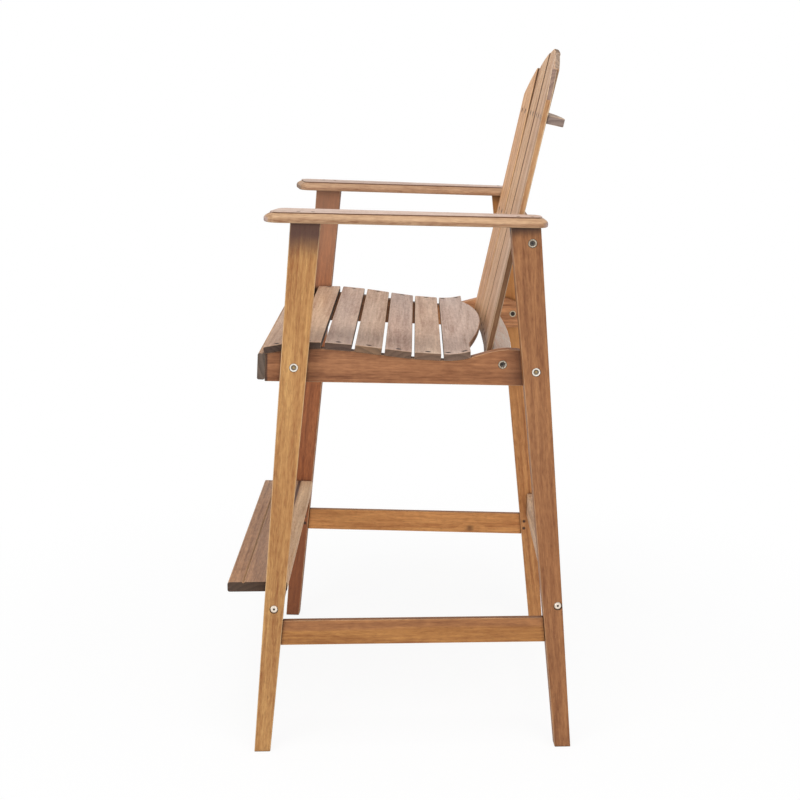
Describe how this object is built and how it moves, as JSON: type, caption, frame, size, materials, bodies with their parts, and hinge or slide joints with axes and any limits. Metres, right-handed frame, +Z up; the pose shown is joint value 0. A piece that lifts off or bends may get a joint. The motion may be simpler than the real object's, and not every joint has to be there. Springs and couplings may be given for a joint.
{
  "type": "bar stool",
  "caption": "Tall adirondack bar stool in oiled hardwood, with a scooped slatted seat, a curved arched slat back, flat moulded arms, tapered legs and a footrest.",
  "frame": {"origin": "middle of the stool's footprint on the floor, halfway between the footrest's front edge and the rear feet", "axes": "+Z up, the sitter faces -Y, and the sitter's left is +X"},
  "size_m": [0.7006, 0.62, 1.243],
  "materials": {
    "golden_wood": "oiled, open grain",
    "reddish_wood": "oiled, open grain",
    "pale_wood": "oiled, open grain",
    "zinc_steel": "zinc plated",
    "dark_steel": "black oxide"
  },
  "bodies": {
    "root": {"arm_left": "pale_wood", "arm_right": "pale_wood", "front_leg_left": "golden_wood", "front_leg_right": "golden_wood", "rear_leg_left": "reddish_wood", "rear_leg_right": "reddish_wood", "seat_rail_left": "reddish_wood", "seat_rail_right": "reddish_wood", "side_stretcher_left": "reddish_wood", "side_stretcher_right": "reddish_wood", "front_apron": "pale_wood", "seat_slat_1": "pale_wood", "seat_slat_2": "pale_wood", "seat_slat_3": "pale_wood", "seat_slat_4": "pale_wood", "seat_slat_5": "pale_wood", "seat_slat_6": "pale_wood", "seat_slat_7": "pale_wood", "back_slat_1": "golden_wood", "back_slat_2": "golden_wood", "back_slat_3": "golden_wood", "back_slat_4": "golden_wood", "back_slat_5": "golden_wood", "upper_back_brace": "pale_wood", "middle_back_brace": "golden_wood", "lower_back_brace": "pale_wood", "rear_stretcher": "golden_wood", "footrest_rail": "golden_wood", "footrest_board": "pale_wood", "leg_rail_bolts": "zinc_steel", "leg_rail_nuts": "zinc_steel", "brace_bolts": "zinc_steel", "stretcher_bolts": "zinc_steel", "barrel_nuts": "zinc_steel", "seat_slat_screws": "dark_steel", "back_slat_screws": "dark_steel", "arm_screws": "dark_steel", "apron_screws": "dark_steel", "footrest_screws": "dark_steel", "stretcher_pins": "dark_steel"}
  },
  "joints": []
}
